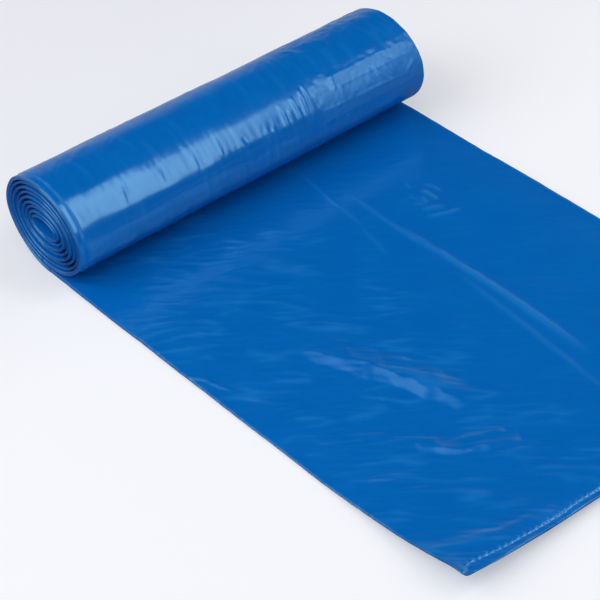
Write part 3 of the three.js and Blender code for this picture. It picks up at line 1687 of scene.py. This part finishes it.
@dataclass(frozen=True)
class RoomLight:
    """The room that the film mirrors: bright left, dim right, pale walls low at the back.

    Attributes:
        colour: Colour of the light.
        left: Light from the left, by the X of its direction.
        right: Light from the far right, by the same.
        wall: Light of the walls, by the Z of its direction.
        behind: Where the walls are, by the Y of its direction.
    """

    colour: str = "F5F6FC"
    left: Ramp = Ramp(0.06, 0.36, 0.85, 0.01, Easing.SOFT)
    right: Ramp = Ramp(0.62, 0.85, 0.0, 0.75, Easing.SOFT)
    wall: Ramp = Ramp(0.0, 0.48, 0.46, 0.0)
    behind: Ramp = Ramp(-0.2, 0.3, easing=Easing.SOFT)

    def build(self) -> None:
        """Make the world that lights the scene."""
        world = bpy.data.worlds.new("room")
        world.use_nodes = True
        bpy.context.scene.world = world
        tree = world.node_tree
        tree.nodes.clear()
        where = add_node(tree, "ShaderNodeTexCoord").outputs["Generated"]
        toward = add_node(tree, "ShaderNodeSeparateXYZ", links={0: where}).outputs
        left = self.left.add(tree, toward["X"])
        right = self.right.add(tree, toward["X"])
        wall = self.wall.add(tree, toward["Z"])
        back_wall = work_out(tree, Arithmetic.PRODUCT, wall, self.behind.add(tree, toward["Y"]))
        sides = work_out(tree, Arithmetic.LARGER, left, right)
        light = add_node(
            tree, "ShaderNodeBackground", values={"Color": linear(self.colour)},
            links={"Strength": work_out(tree, Arithmetic.LARGER, sides, back_wall)},
        )
        add_node(tree, "ShaderNodeOutputWorld", links={"Surface": light.outputs["Background"]})


class Side(Enum):
    """Where a softbox stands, as a direction from the object."""

    FRONT_RIGHT = (0.414, -0.518, 0.748)
    RIGHT = (0.622, -0.314, 0.718)
    LEFT_BACK = (-0.72, 0.25, 0.65)


@dataclass(frozen=True)
class Softbox:
    """A large, evenly lit lamp that faces the object.

    Attributes:
        side: Where it stands.
        radiance: How bright its face is, where 1 is white.
        width: Its size across, in metres.
        height: Its size up and down, in metres.
        lean: How far it is turned about the line to the object, in degrees.
        distance: How far away it stands, in metres.
    """

    side: Side
    radiance: float
    width: float
    height: float
    lean: float = 0.0
    distance: float = 1.5

    def build(self) -> None:
        """Put the lamp in the scene."""
        lamp = bpy.data.lights.new(self.side.name.lower(), "AREA")
        lamp.shape = "RECTANGLE"
        lamp.size = self.width
        lamp.size_y = self.height
        lamp.energy = self.radiance * math.pi * self.width * self.height
        place = Vector(self.side.value).normalized() * self.distance
        facing = place.to_track_quat("Z", "Y").to_matrix().to_4x4()
        leaning = Matrix.Rotation(math.radians(self.lean), 4, "Z")
        holder = bpy.data.objects.new(lamp.name, lamp)
        holder.matrix_world = Matrix.Translation(place) @ facing @ leaning
        bpy.context.scene.collection.objects.link(holder)


@dataclass(frozen=True)
class Viewpoint:
    """The place that the photograph was taken from.

    Attributes:
        form: Sizes of the web.
        eye: Camera's place in web widths, from the point under the roll's axis.
        azimuth: Direction of view from +Y towards +X, in degrees.
        dip: How far the view looks down, in degrees.
        roll: How far the camera is turned about its view, in degrees.
        lens: Focal length in millimetres.
        sensor: Width of the sensor in millimetres.
        nearest: Distance from which things are seen, in metres.
    """

    form: WebForm
    eye: tuple[float, float, float] = (-2.2990, -3.1011, 2.7579)
    azimuth: float = 38.846
    dip: float = 39.033
    roll: float = -2.95
    lens: float = 123.14
    sensor: float = 36.0
    nearest: float = 0.05

    def build(self) -> None:
        """Place the camera."""
        turn, dip, roll = (math.radians(a) for a in (self.azimuth, self.dip, self.roll))
        level = Vector((math.sin(turn), math.cos(turn), 0)) * math.cos(dip)
        ahead = level - Vector((0, 0, math.sin(dip)))
        right = Vector((math.cos(turn), -math.sin(turn), 0))
        above = right.cross(ahead)
        leaned_right = right * math.cos(roll) + above * math.sin(roll)
        leaned_up = above * math.cos(roll) - right * math.sin(roll)
        place = Vector(self.eye) * self.form.width * MM + Vector((0, self.form.axis_y * MM, 0))
        camera = bpy.data.cameras.new("camera")
        camera.lens = self.lens
        camera.sensor_width = self.sensor
        camera.clip_start = self.nearest
        holder = bpy.data.objects.new("camera", camera)
        pose = Matrix((leaned_right, leaned_up, -ahead)).transposed().to_4x4()
        holder.matrix_world = Matrix.Translation(place) @ pose
        bpy.context.scene.collection.objects.link(holder)
        bpy.context.scene.camera = holder


@dataclass(frozen=True)
class Studio:
    """A plain pale floor, a room, soft lamps and a camera.

    Attributes:
        form: Sizes of the web.
        floor: The floor.
        room: Light from the room.
        lamps: The soft lamps.
    """

    form: WebForm
    floor: PaleFloor = PaleFloor()
    room: RoomLight = RoomLight()
    lamps: tuple[Softbox, ...] = (
        Softbox(Side.FRONT_RIGHT, radiance=3.5, width=0.36, height=1.72, lean=-22.6),
        Softbox(Side.RIGHT, radiance=1.6, width=0.4, height=0.7, lean=-22.6),
        Softbox(Side.LEFT_BACK, radiance=2.5, width=1.2, height=1.0),
    )

    def build(self) -> None:
        """Set up the floor, the light and the camera."""
        for fitting in (self.floor, self.room, *self.lamps, Viewpoint(self.form)):
            fitting.build()
        bpy.context.scene.view_settings.view_transform = "Standard"


# The roll's film: blown polyethylene wound tight, so it stays smooth and shiny, with only
# fine wrinkles that run round the roll. Real ones are finer than these.
WOUND_FILM = BlownFilm("wound_film", 0.0, wrinkle_mm=1.4, wrinkle_height_mm=0.04)

# The free bag's film: the same once it is unrolled. It lies slack, so its wrinkles are
# wider and softer, and they run aslant from the side where it was pulled.
LOOSE_FILM = BlownFilm("loose_film", 130.0, wrinkle_mm=2.8, wrinkle_height_mm=0.045)


def main() -> None:
    """Build the studio and every stretch of the web, report them and note their sizes."""
    logging.basicConfig(level=logging.INFO)
    form = WebForm()
    Studio(form).build()
    wound, loose = WOUND_FILM.material(), LOOSE_FILM.material()
    stretches = ((FreeBag(form), loose), (OuterTurn(form), wound), (InnerTurns(form), wound))
    for stretch, film in stretches:
        piece = stretch.build()
        stretch.dress(piece, film)
        triangles = sum(len(face.vertices) - 2 for face in piece.data.polygons)
        LOG.info("%s: %d triangles", piece.name, triangles)


if __name__ == "__main__":
    main()
